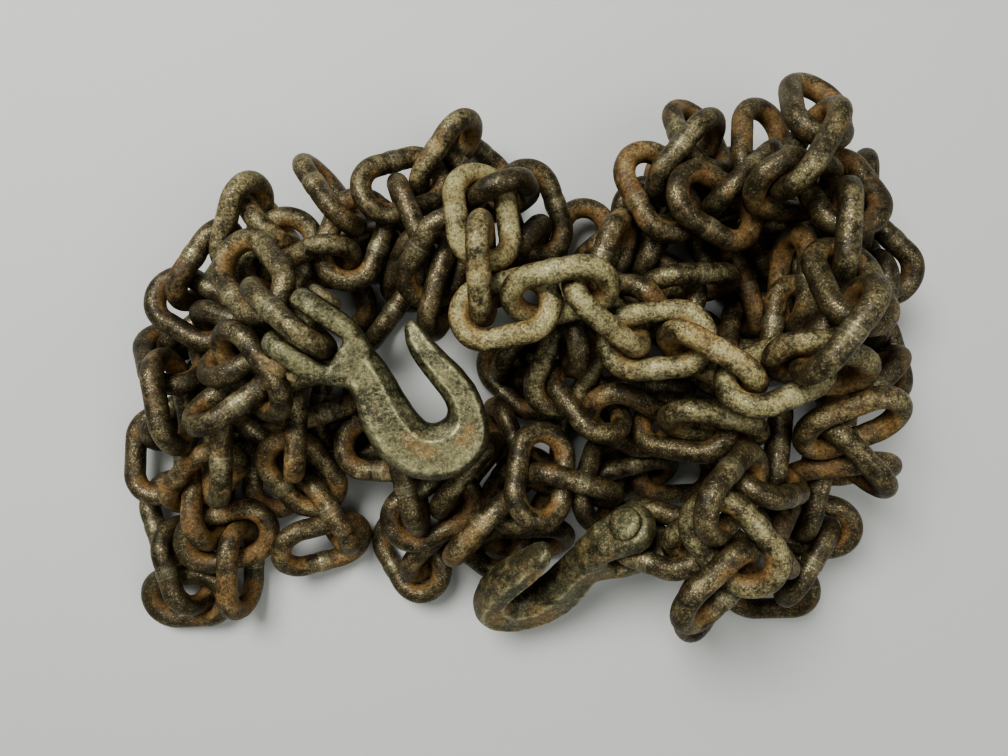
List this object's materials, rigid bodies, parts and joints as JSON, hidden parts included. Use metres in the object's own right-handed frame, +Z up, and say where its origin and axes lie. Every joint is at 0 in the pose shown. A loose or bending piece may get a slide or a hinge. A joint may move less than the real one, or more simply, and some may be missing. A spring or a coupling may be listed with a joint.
{
  "type": "heap of iron chain",
  "caption": "Loose heap of heavy welded oval-link chain with a clevis grab hook on either end, one hook lying flat on top and one on its edge.",
  "frame": {"origin": "middle of the heap's bounding box, on the floor it lies on", "axes": "+Z up, +X along the heap's long side with the flat hook towards -X, +Y away from the near edge"},
  "size_m": [0.501, 0.3464, 0.1611],
  "materials": {
    "chain_iron": "worn, dusty, rust in the bends",
    "hook_iron": "forged, worn, greenish grey with rust",
    "pin_iron": "worn, speckled with rust",
    "cotter_iron": "rusty"
  },
  "bodies": {
    "root": {"chain_below_hook_1": "chain_iron", "chain_below_hook_2": "chain_iron", "chain_bottom_ring_1": "chain_iron", "chain_bottom_ring_2": "chain_iron", "chain_centre_1": "chain_iron", "chain_centre_top_1": "chain_iron", "chain_centre_top_2": "chain_iron", "chain_far_hook_run_1": "chain_iron", "chain_floor_corner_1": "chain_iron", "chain_floor_left_1": "chain_iron", "chain_floor_left_edge_1": "chain_iron", "chain_floor_left_edge_2": "chain_iron", "chain_floor_middle_1": "chain_iron", "chain_floor_ridge_1": "chain_iron", "chain_floor_slot_1": "chain_iron", "chain_floor_under_hook_1": "chain_iron", "chain_left_edge_1": "chain_iron", "chain_lower_left_1": "chain_iron", "chain_lower_left_2": "chain_iron", "chain_lower_right_1": "chain_iron", "chain_lower_right_top_1": "chain_iron", "chain_lower_right_top_2": "chain_iron", "chain_middle_1": "chain_iron", "chain_middle_left_1": "chain_iron", "chain_near_hook_run_1": "chain_iron", "chain_near_left_1": "chain_iron", "chain_near_left_2": "chain_iron", "chain_ridge_low_1": "chain_iron", "chain_right_back_1": "chain_iron", "chain_right_bar_1": "chain_iron", "chain_right_column_1": "chain_iron", "chain_right_column_2": "chain_iron", "chain_right_cross_1": "chain_iron", "chain_right_foot_1": "chain_iron", "chain_right_foot_2": "chain_iron", "chain_right_inner_1": "chain_iron", "chain_right_inner_2": "chain_iron", "chain_right_post_1": "chain_iron", "chain_right_single_1": "chain_iron", "chain_right_stand_1": "chain_iron", "chain_top_1": "chain_iron", "chain_top_2": "chain_iron", "chain_top_3": "chain_iron", "chain_top_4": "chain_iron", "chain_top_5": "chain_iron", "chain_top_6": "chain_iron", "chain_top_left_ring_1": "chain_iron", "chain_top_middle_ring_1": "chain_iron", "chain_upper_left_1": "chain_iron", "chain_upper_left_2": "chain_iron", "chain_upper_middle_1": "chain_iron", "chain_upper_middle_2": "chain_iron", "chain_upper_middle_over_1": "chain_iron", "hook_1": "hook_iron", "hook_1_cotter": "cotter_iron", "hook_1_pin": "pin_iron", "hook_2": "hook_iron", "hook_2_cotter": "cotter_iron", "hook_2_pin": "pin_iron"}
  },
  "joints": []
}
